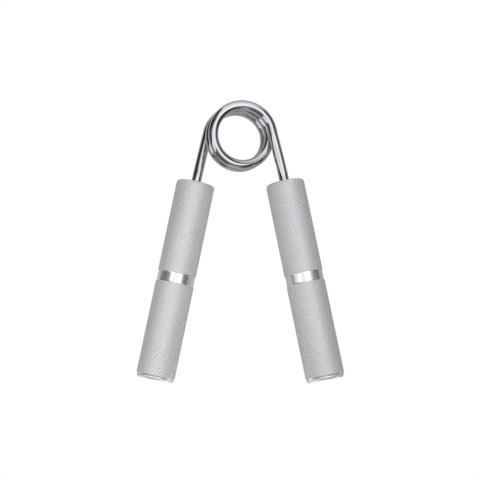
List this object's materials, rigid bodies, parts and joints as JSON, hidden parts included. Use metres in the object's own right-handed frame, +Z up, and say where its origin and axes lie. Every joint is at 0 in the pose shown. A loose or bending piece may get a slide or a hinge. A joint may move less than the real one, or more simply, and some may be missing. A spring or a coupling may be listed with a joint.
{
  "type": "hand gripper",
  "caption": "Hand gripper: two knurled round metal handles on the legs of a coiled torsion spring, spread in an A and squeezed together in one hand.",
  "frame": {"origin": "middle of the footprint, on the surface that the gripper lies on", "axes": "+Z up from the surface, +Y from the far ends of the handles towards the coil, +X to the right seen from above"},
  "size_m": [0.1186, 0.1621, 0.0277],
  "materials": {
    "knurled_aluminium": "satin silver with a fine diamond knurl, and one smooth turned band",
    "chrome_wire": "mirror-bright plated spring wire"
  },
  "bodies": {
    "left_grip": {"left_handle": "knurled_aluminium", "torsion_spring": "chrome_wire"},
    "right_grip": {"right_handle": "knurled_aluminium"}
  },
  "joints": [
    {"name": "squeeze", "type": "hinge", "parent": "left_grip", "child": "right_grip", "pos_m": [-0.00045, 0.06102, 0.0138], "axis": [0, 0.0195, -0.9998], "range_deg": [0, 29.6], "stiffness_Nm_per_rad": 38, "deforming": ["torsion_spring"]}
  ]
}
